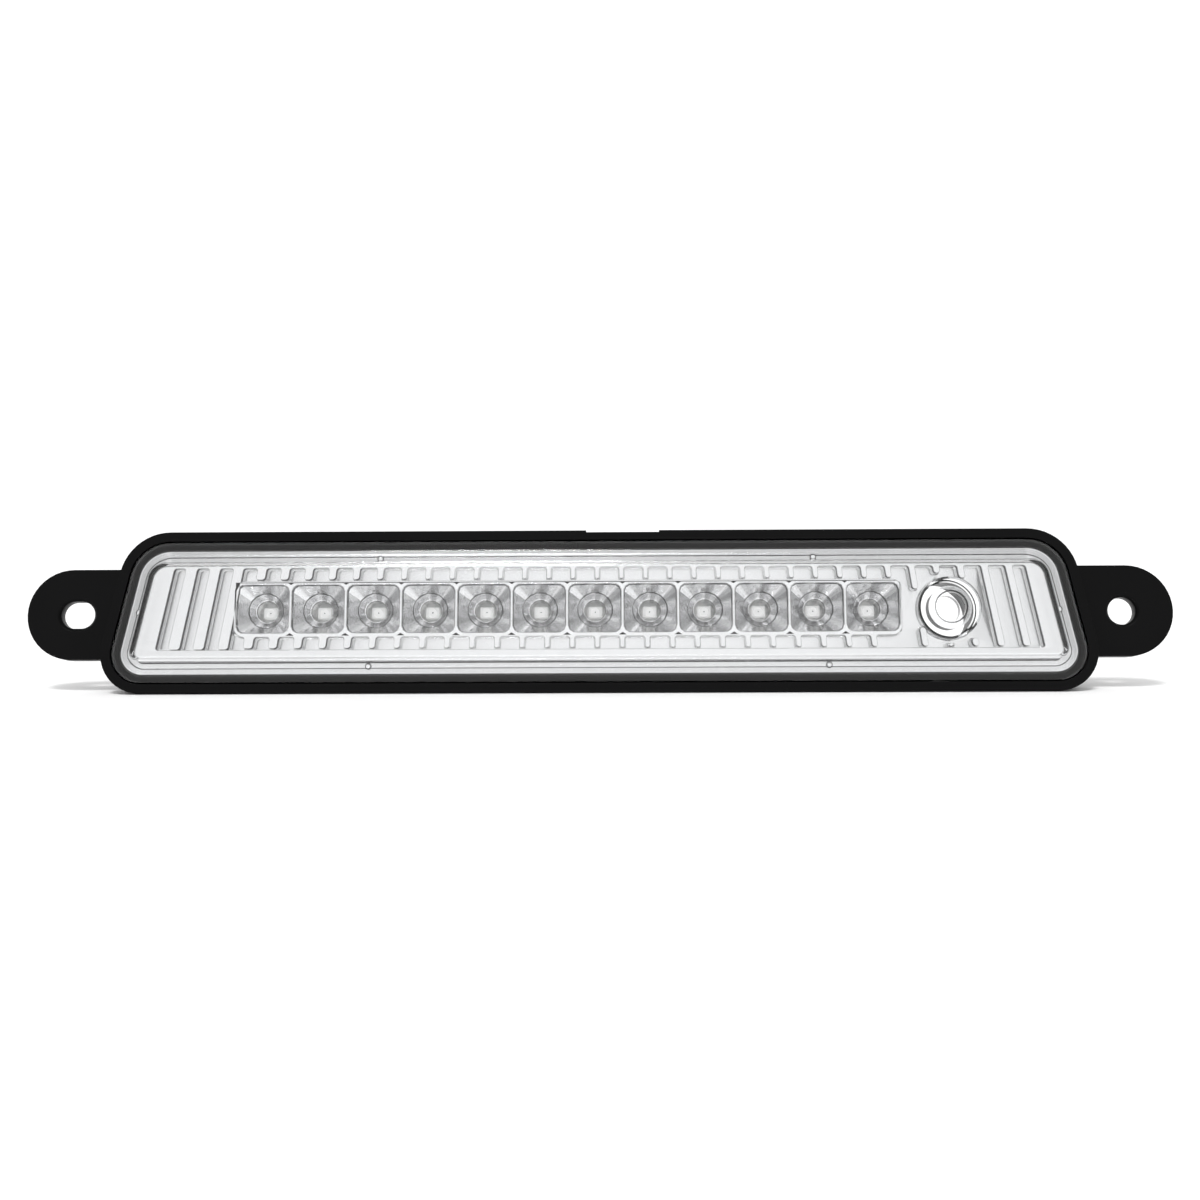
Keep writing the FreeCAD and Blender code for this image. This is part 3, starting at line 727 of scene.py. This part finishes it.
def rib_half(u):
    """Half a rib's width: ribs widen towards the lamp's ends."""
    spread = RIB_SPREAD_LEFT if u < 0 else RIB_SPREAD_RIGHT
    return (RIB_WIDTH + spread * (u / FLUTE_END) ** 2) / 2


def rib_lines():
    half_count = FLUTE_COUNT // 2
    pitch = FLUTE_END / half_count
    return [pitch * place for place in range(1 - half_count, half_count)]


def meets_row(u):
    return ROW_LOW.x - ROW_MARGIN < u < ROW_HIGH.x + ROW_MARGIN


def port_reach(u):
    """Half the height that the port's collar takes from a rib's line."""
    across = fan(u, PORT_Z)[0] - PORT_X
    return math.sqrt(max(0.0, PORT_CLEAR * PORT_CLEAR - across * across))


def tooth(u, root, tip, grow):
    """The outline of a rib that hangs from a wall, walked from left to right."""
    half = rib_half(u)
    side = half + RIB_ROOT
    round_end = min(half, RIB_ROUND)
    flat = half - round_end
    end = tip + round_end
    curve = RIB_ROOT - grow
    return (arc(u - side, root - RIB_ROOT, curve, 90, 0, 4)
            + arc(u - flat, end, round_end + grow, 180, 270, 4)
            + arc(u + flat, end, round_end + grow, 270, 360, 4)
            + arc(u + side, root - RIB_ROOT, curve, 180, 90, 4))


def rib_tip(u):
    """How far down a rib hangs: to the cells, to the port's collar or to the bottom."""
    if meets_row(u):
        return ROW_HIGH.z + ROW_COLLAR + RIB_GAP
    if port_reach(u):
        return PORT_Z + port_reach(u)
    return FLUTE_BOTTOM + (RIB_GAP if u > 0 else RIB_GAP_LEFT)


def field_loop(grow):
    """The edge of the fluted field, with ribs hanging from its top edge."""
    curve = FIELD_CORNER - grow
    left = FIELD_LEFT + FIELD_CORNER
    right = FIELD_RIGHT - FIELD_CORNER
    high = FLUTE_TOP - FIELD_CORNER
    low = FLUTE_BOTTOM + FIELD_CORNER
    points = arc(left, high, curve, 180, 90)
    for u in rib_lines():
        points += tooth(u, FLUTE_TOP, rib_tip(u), grow)
    points += arc(right, high, curve, 90, 0)
    points += arc(right, low, curve, 0, -90)
    points += arc(left, low, curve, -90, -180)
    return [fan(u, z) for u, z in points]


def row_loop(grow):
    """The edge of the collar round the cells, with ribs hanging from its lower edge."""
    corner = ROW_CORNER + grow
    left = ROW_LOW.x - ROW_COLLAR - grow + corner
    right = ROW_HIGH.x + ROW_COLLAR + grow - corner
    high = ROW_HIGH.z + ROW_COLLAR + grow - corner
    edge = ROW_LOW.z - ROW_COLLAR
    low = edge - grow + corner
    points = arc(left, high, corner, 180, 90)
    points += arc(right, high, corner, 90, 0)
    points += arc(right, low, corner, 0, -90)
    for u in reversed(rib_lines()):
        if ROW_LOW.x + ROW_CORNER_CLEAR < u < ROW_HIGH.x - ROW_CORNER_CLEAR:
            hanging = tooth(u, edge, FLUTE_BOTTOM + RIB_GAP, grow)
            points += [fan(*point) for point in reversed(hanging)]
    points += arc(left, low, corner, -90, -180)
    return points


def bar_loop(grow, u):
    """The edge of a short free-standing rib under the port."""
    half = rib_half(u)
    high = PORT_Z - port_reach(u)
    low = FLUTE_BOTTOM + RIB_GAP
    points = arc(u, high - half, half + grow, 180, 0)
    points += arc(u, low + half, half + grow, 0, -180)
    return [fan(*point) for point in points]


def facings(outline, turn):
    """For each point of an outline, its X, and how far its wall faces the lamp's
    middle and how far it faces down, each from 0 to 1."""
    count = len(outline)
    for index in range(count):
        before = Vector(outline[index - 1])
        after = Vector(outline[(index + 1) % count])
        run = (after - before).normalized()
        x = outline[index][0]
        across = run.y * turn
        inward = max(0.0, -across if x > 0 else across)
        yield x, inward, max(0.0, run.x * turn)


def end_share(x):
    """0 in the lamp's middle, 1 towards its ends, where the walls' edges show painted
    shade.
    """
    share = (abs(x) - QUIET_HALF) / (CRISP_HALF - QUIET_HALF)
    share = min(1.0, max(0.0, share))
    return share * share * (3 - 2 * share)


def wall_shade(outline, turn):
    """The share of the painted shade that each point of a wall shows."""
    shades = []
    for x, inward, under in facings(outline, turn):
        reach = end_share(x)
        sideways = WALL_ANY * reach + WALL_INWARD * reach * inward
        shades.append(sideways + (WALL_UNDER - WALL_UNDER_FADE * reach) * under)
    return shades


def foot_shade(outline, turn):
    """How much painted shade the floor gets along a wall's foot, as the wall's dark
    reflection:
    most under the walls that face the lamp's middle, and more so towards its ends."""
    shades = []
    for x, inward, under in facings(outline, turn):
        reach = min(1.0, abs(x) / FLUTE_END) ** FOOT_INWARD_POWER
        side = FOOT_INWARD_LEFT if x < 0 else FOOT_INWARD_RIGHT
        shades.append(FOOT_ANY + side * inward * reach + FOOT_UNDER * under)
    return shades


def wall_loops(skin, make_outline, turn, *place):
    """The loops of a wall, from its front edge down to the floor of the flutes."""
    loops = []
    for grow, y, painted_dark in WALL:
        outline = make_outline(grow, *place)
        if painted_dark is None:
            shades = foot_shade(outline, turn)
        else:
            shades = [painted_dark * share for share in wall_shade(outline, turn)]
        loops.append(skin.loop(outline, y, shades))
    return loops


def bezel_frame(skin):
    """The step band and the crest round the field, from the outer edge inward."""
    loops = []
    for inset, y, painted_dark in FRAME_SECTION:
        outline = rim_loop(inset)
        shares = [FRAME_END_SHARE if abs(x) > FRAME_END else 1.0 for x, z in outline]
        loops.append(skin.loop(outline, y, [painted_dark * share for share in shares]))
    skin.bands(loops)
    return loops[-1]


def bezel_row(skin):
    """The collar round the cells, open in the middle for their reflector."""
    row = wall_loops(skin, row_loop, FACES_OUT)
    outline = rectangle(ROW_LOW.x, ROW_HIGH.x, ROW_LOW.z, ROW_HIGH.z, WINDOW_CORNER, 2)
    window = [skin.loop(outline, y) for y in WINDOW_LEVELS]
    skin.fill(row[0], window[0])
    skin.bands(window)
    skin.bands(row)
    return row[-1]


def bezel_bars(skin):
    """The short ribs that stand free under the port."""
    feet = []
    for u in rib_lines():
        if port_reach(u) and not meets_row(u):
            bar = wall_loops(skin, bar_loop, FACES_OUT, u)
            skin.fill(bar[0])
            skin.bands(bar)
            feet.append(bar[-1])
    return feet


def build_bezel(finish):
    """The bezel: step band, raised front, fluted field, and the two collars."""
    skin = Skin()
    front = bezel_frame(skin)
    field = wall_loops(skin, field_loop, FACES_IN)
    skin.fill(front, field[0])
    skin.bands(field)
    islands = [bezel_row(skin), *bezel_bars(skin)]
    collar = [skin.loop(port_ring(PORT_TUBE + outside), y, painted_dark)
              for outside, y, painted_dark in COLLAR_SECTION]
    skin.bands(collar)
    skin.fill(field[-1], *islands, collar[-1])
    return skin.make("fluted_bezel", finish, sharp=28.0)


def build_pips(finish):
    """Six small round locating pips on the bezel's sloping frame."""
    skin = Skin()
    high = BODY_HEIGHT / 2 - PIP_INSET
    side = BODY_MID_WIDTH / 2 - PIP_INSET / math.cos(END_SLANT)
    spots = [(x, high) for x in PIPS_ABOVE]
    spots += [(x, -high) for x in PIPS_BELOW]
    spots += [(-side, 0.0), (side, 0.0)]
    for x, z in spots:
        loops = [skin.loop(ring(x, z, radius, 24), BEZEL_FOOT + y, painted_dark)
                 for radius, y, painted_dark in PIP_SECTION]
        skin.bands(loops)
        skin.fill(loops[-1])
    return skin.make("bezel_pips", finish)


# ---------------------------------------------------------------- reflector row

FACETS = 16
FACET_STEPS = 3
FACET_POINTS = FACETS * FACET_STEPS
TINY = 1e-6
CELL_SHARP_CORNER = 0.05
CELL_MOUTH_X = CELL_PITCH / 2 - 0.12
CELL_MOUTH_Z = ROW_HALF - 0.4

# a cell's raised lip, from its edge: inset from its mouth, corner, depth, painted shade
CELL_LIP = (
    (-0.02, 2.1, 0.0, 0.0),
    (0.02, 2.05, -0.05, 0.0),
    (0.1, 1.95, -0.09, 0.0),
    (0.16, 1.85, -0.05, 0.0),
    (0.2, 1.8, 0.05, 0.45),
)
# the same for its shoulder, where the facets begin
CELL_SHOULDER = (
    (0.34, 1.75, 0.65, 0.5),
    (0.42, 1.7, 1.0, 0.0),
)
# and on down its stepped bowl: radius, depth, painted shade
CELL_BOWL = (
    (4.52, 3.3, 0.0),
    (4.46, 3.34, 0.5),
    (4.34, 3.65, 0.8),
    (4.22, 3.75, 0.6),
    (4.12, 3.8, 0.05),
    (3.6, 4.35, 0.0),
    (3.05, 4.9, 0.0),
    (2.95, 5.0, 0.0),
    (2.78, 5.04, 0.0),
    (2.68, 5.15, 0.6),
    (2.6, 5.4, 0.6),
    (2.6, 5.9, 0.0),
    (2.6, 9.8, 0.0),
)
# painted reflection on each facet, round from the right-hand one: how much darker it is
# painted
FACET_PAINTED_DARK = (
    0.34, 0.6, 0.12, 0.42, 0.02, 0.18, 0.0, 0.02,
    0.14, 0.26, 0.04, 0.2, 0.08, 0.34, 0.16, 0.48,
)


def cell_outline(x, half_x, half_z, corner):
    """A rounded rectangle round a cell's centre, with a point on each facet's lines."""
    core = Vector((half_x - corner, half_z - corner))
    points = []
    for index in range(FACET_POINTS):
        turn = 2 * math.pi * (index + 0.5 * FACET_STEPS) / FACET_POINTS
        ray = Vector((abs(math.cos(turn)), abs(math.sin(turn))))
        reach = min(half_x / max(ray.x, TINY), half_z / max(ray.y, TINY))
        if reach * ray.x > core.x and reach * ray.y > core.y:
            along = core.dot(ray)
            reach = along + math.sqrt(along ** 2 - core.length_squared + corner ** 2)
        points.append((x + reach * math.cos(turn), ROW_Z + reach * math.sin(turn)))
    return points


def mouth_outline(x, inset, corner):
    return cell_outline(x, CELL_MOUTH_X - inset, CELL_MOUTH_Z - inset, corner)


def facet_ring(x, radius):
    """A ring of straight chords, one to a facet."""
    points = []
    for index in range(FACET_POINTS):
        facet, part = divmod(index, FACET_STEPS)
        first, second = (2 * math.pi * (facet + 0.5 + step) / FACETS for step in (0, 1))
        share = part / FACET_STEPS
        across = math.cos(first) * (1 - share) + math.cos(second) * share
        up = math.sin(first) * (1 - share) + math.sin(second) * share
        points.append((x + radius * across, ROW_Z + radius * up))
    return points


def uneven_painted_dark(x, outline, painted_dark):
    """Painted reflection: some facets are painted darker than others, standing in for
    the surroundings that they reflect.
    """
    shades = []
    for px, pz in outline:
        turn = math.degrees(math.atan2(pz - ROW_Z, px - x)) % 360
        facet = int(turn * FACETS / 360) % FACETS
        shades.append(min(1.0, painted_dark + FACET_PAINTED_DARK[facet]))
    return shades


def build_reflector(finish):
    """Twelve faceted cells in one row, each with a raised lip and a stepped bowl."""
    skin = Skin()
    for place in range(CELL_COUNT):
        x = ROW_LOW.x + CELL_PITCH * (place + 0.5)
        edge = cell_outline(x, CELL_PITCH / 2, ROW_HALF, CELL_SHARP_CORNER)
        loops = [skin.loop(edge, ROW_HIGH.y), skin.loop(edge, BEZEL_FRONT)]
        for inset, corner, depth, painted_dark in CELL_LIP:
            outline = mouth_outline(x, inset, corner)
            loops.append(skin.loop(outline, BEZEL_FRONT + depth, painted_dark))
        faceted = [(mouth_outline(x, inset, corner), depth, painted_dark)
                   for inset, corner, depth, painted_dark in CELL_SHOULDER]
        faceted += [(facet_ring(x, radius), depth, painted_dark)
                    for radius, depth, painted_dark in CELL_BOWL]
        for outline, depth, painted_dark in faceted:
            shades = uneven_painted_dark(x, outline, painted_dark)
            loops.append(skin.loop(outline, BEZEL_FRONT + depth, shades))
        skin.bands(loops)
    return skin.make("cell_reflector", finish, sharp=8.0)


# ---------------------------------------------------------------- LEDs

LED_CORNER = 0.25
LED_BASE_INSET = 0.05
# the package's chamfered front: inset, depth behind its front face
LED_FRONT = ((0.0, 0.9), (0.06, 0.1), (0.14, 0.0))
# its cup, and the filling in it: radius, depth
LED_CUP = ((1.2, 0.0), (1.12, 0.08), (0.95, 0.34))
LED_FILLING = ((1.1, 0.14), (0.8, 0.11), (0.45, 0.09))
LED_FILLING_BASE = (0.98, 0.3)
LED_ROUNDNESS = 32
DIE_HALF = 0.17
DIE_CORNER = 0.04
DIE_DEPTHS = (0.12, 0.06)


def led_rings(skin, x, z, front, section):
    return [skin.loop(ring(x, z, radius, LED_ROUNDNESS), front + depth)
            for radius, depth in section]


def led_package(name, low, high, x, z, finish):
    """The white package: chamfered front and a round cup."""
    skin = Skin()
    sides = []
    base = (LED_BASE_INSET, high.y - low.y)
    for inset, depth in (base, *LED_FRONT):
        outline = rectangle(low.x + inset, high.x - inset,
                            low.z + inset, high.z - inset, LED_CORNER, 4)
        sides.append(skin.loop(outline, low.y + depth))
    skin.fill(sides[0])
    skin.bands(sides)
    cup = led_rings(skin, x, z, low.y, LED_CUP)
    skin.fill(sides[-1], cup[0])
    skin.bands(cup)
    skin.fill(cup[-1])
    return skin.make(name, finish)


def led_resin(name, x, z, front, finish):
    """The clear filling, domed a little towards its middle."""
    skin = Skin()
    dome = led_rings(skin, x, z, front, LED_FILLING)
    skin.bands(dome)
    skin.fill(dome[-1])
    base = led_rings(skin, x, z, front, [LED_FILLING_BASE])[0]
    skin.band(base, dome[0])
    skin.fill(base)
    return skin.make(name, finish)


def led_chip(name, x, z, front, finish):
    """The small dark die in the middle."""
    skin = Skin()
    outline = rectangle(x - DIE_HALF, x + DIE_HALF, z - DIE_HALF, z + DIE_HALF,
                        DIE_CORNER, 3)
    loops = [skin.loop(outline, front + depth) for depth in DIE_DEPTHS]
    skin.bands(loops)
    skin.fill(loops[0])
    skin.fill(loops[1])
    return skin.make(name, finish)


def build_led(place, package, filling, die):
    """A surface-mount LED: its package, clear filling and die."""
    low, high = node_box(f"led_{place:02d}")
    x = (low.x + high.x) / 2
    z = (low.z + high.z) / 2
    return [led_package(f"led_package_{place:02d}", low, high, x, z, package),
            led_resin(f"led_filling_{place:02d}", x, z, low.y, filling),
            led_chip(f"led_die_{place:02d}", x, z, low.y, die)]


# ---------------------------------------------------------------- the lamp

FRAME_SHARP = math.radians(30.0)


def dress(name, finish, edge_mm=0.0):
    """Give a frame part its finish and, if asked, a small rounding of its edges."""
    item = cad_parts[name]
    item.data.materials.clear()
    item.data.materials.append(finish)
    if not edge_mm:
        return
    weld = item.modifiers.new("weld", "WELD")
    weld.merge_threshold = FRAME_WELD
    edge = item.modifiers.new("edge", "BEVEL")
    edge.width = edge_mm * MM
    edge.segments = 2
    edge.limit_method = "ANGLE"
    edge.angle_limit = FRAME_SHARP
    edge.harden_normals = True
    edge.use_clamp_overlap = True


bezel_film = metallised("bezel_metal_film", BEZEL_BRIGHT, BEZEL_DULL, rough=0.2,
                        ripple_mm=1.6, ripple_depth=0.003, haze_mm=3.2)
cell_film = metallised("cell_metal_film", CELL_BRIGHT, CELL_DULL, rough=0.14,
                       ripple_mm=0.7, ripple_depth=0.045, haze_mm=0.9)

lens = build_lens(clear_plastic())
bezel = build_bezel(bezel_film)
pips = build_pips(bezel_film)
reflector = build_reflector(cell_film)

for piece, node, slot in ((lens, "lens", "lens_clear"), (bezel, "bezel", "metallised"),
                          (reflector, "led_reflector", "metallised")):
    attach(piece, "root")
    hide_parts(node)
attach(pips, "root")

led_finishes = (led_white(), led_filling(), led_die())
for place in range(1, CELL_COUNT + 1):
    made = build_led(place, *led_finishes)
    for piece in made:
        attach(piece, "root")
    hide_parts(f"led_{place:02d}")

black = moulded_black("housing_black", HOUSING_DARK, HOUSING_LIGHT,
                      rough=0.36, gloss=0.09)
small_black = moulded_black("small_part_black", SMALL_PART_DARK, SMALL_PART_LIGHT,
                            rough=0.5, gloss=0.3)
sealant = rubber("sealant_black", SEALANT_BLACK)
seal_rubber = rubber("seal_rubber", RUBBER_BLACK)
glaze = ceramic("resistor_glaze", RESISTOR_GLAZE)
capacitor_body = ceramic("capacitor_body", CAPACITOR_TAN)
tin = metal("tinned_brass", TIN_BRIGHT, TIN_DULL, rough=0.25, stretch=(1.0, 0.1, 1.0))
zinc = metal("zinc_steel", ZINC_BRIGHT, ZINC_DULL, rough=0.3, stretch=(1.0, 1.0, 1.0))

# the frame's own parts: node, finish, rounding of its edges
for node, finish, edge_mm in (
    ("rear_housing", black, 0.35),
    ("mounting_gasket", foam(), 0.3),
    ("lens_sealant", sealant, 0.0),
    ("port_seal", seal_rubber, 0.2),
    ("circuit_board", solder_mask(), 0.0),
    ("resistor_1", glaze, 0.08),
    ("resistor_2", glaze, 0.08),
    ("resistor_3", glaze, 0.08),
    ("resistor_4", glaze, 0.08),
    ("reverse_diode", small_black, 0.1),
    ("capacitor", capacitor_body, 0.08),
    ("blade_header", small_black, 0.15),
    ("terminal_supply", tin, 0.12),
    ("terminal_ground", tin, 0.12),
    ("board_screws", zinc, 0.1),
    ("vent_membrane", membrane_weave(), 0.0),
    ("vent_cap", small_black, 0.2),
):
    dress(node, finish, edge_mm)


# ---------------------------------------------------------------- stage

FLOOR_TILT = math.radians(12.0)
FLOOR_REACH = 3.0
FLOOR_GAP = 0.3
FLOOR_PALE = ((0.93, 0.93, 0.93), (0.95, 0.95, 0.95))
AHEAD_LIGHT = 1.06
AHEAD_SIDE_FALL = 0.42
AHEAD_HEIGHT_FALL = 0.3
BEHIND_LIGHT = 1.2
BEHIND_STARTS = -0.1
BEHIND_FULL = 0.75


def link(name, data):
    item = bpy.data.objects.new(name, data)
    bpy.context.collection.objects.link(item)
    return item


def stage_floor():
    """A plain pale floor under the lamp's lower edge, which tilts up behind it."""
    finish = Finish("pale_floor")
    mottle = finish.noise(size_mm=40.0, detail=3.0)
    material = finish.close(Base_Color=finish.mix(mottle, *FLOOR_PALE), Roughness=0.8,
                            Specular_IOR_Level=0.1)
    mesh = bpy.data.meshes.new("pale_floor")
    edge_y = REAR_LOW.y * MM
    level = (REAR_LOW.z - FLOOR_GAP) * MM
    corners = [(-FLOOR_REACH, -FLOOR_REACH), (FLOOR_REACH, -FLOOR_REACH),
               (FLOOR_REACH, FLOOR_REACH), (-FLOOR_REACH, FLOOR_REACH)]
    rise = math.tan(FLOOR_TILT)
    points = [(x, y, level + (y - edge_y) * rise) for x, y in corners]
    mesh.from_pydata(points, [], [(0, 1, 2, 3)])
    mesh.materials.append(material)
    link("pale_floor", mesh)


def studio_walls():
    """Soft surroundings: white ahead and behind, darker to the sides and overhead."""
    walls = Finish("studio_walls", "worlds", "Generated")
    x, y, z = (walls.node("SeparateXYZ", None, {"Vector": walls.place}, output=axis)
               for axis in "XYZ")
    rise = {"Value": y, "From Min": BEHIND_STARTS, "From Max": BEHIND_FULL}
    behind = walls.node("MapRange", {"interpolation_type": "SMOOTHSTEP"}, rise,
                        output="Result")
    ahead = AHEAD_LIGHT - AHEAD_SIDE_FALL * (x * x) - AHEAD_HEIGHT_FALL * (z * z)
    light = ahead + behind * (BEHIND_LIGHT - ahead)
    colour = walls.node("CombineColor", None, {0: light, 1: light, 2: light})
    glow = walls.node("Background", None, {"Color": colour, "Strength": 1.0})
    return walls.end(glow, "OutputWorld")


def soft_sun(name, heading, spread, strength):
    """A sun that shines along a heading; its spread, in degrees, softens shadows."""
    data = bpy.data.lights.new(name, "SUN")
    data.angle = math.radians(spread)
    data.energy = strength
    sun = link(name, data)
    sun.rotation_euler = Vector(heading).to_track_quat("-Z", "Y").to_euler()


def front_camera(place, turn, lens_mm):
    """A camera at a place in metres, turned by angles in degrees."""
    data = bpy.data.cameras.new("camera")
    data.sensor_width = 36.0
    data.lens = lens_mm
    data.clip_start = 0.01
    data.clip_end = 20.0
    camera = link("camera", data)
    camera.location = place
    camera.rotation_euler = [math.radians(angle) for angle in turn]
    return camera


stage_floor()
soft_sun("overhead_sun", heading=(0.12, 0.8, -1.0), spread=12.0, strength=1.5)
scene = bpy.context.scene
scene.world = studio_walls()
scene.view_settings.view_transform = "Standard"
scene.camera = front_camera(place=(0.00489, -0.34665, -0.04628),
                            turn=(98.19, 0.14, 0.73), lens_mm=42.0)
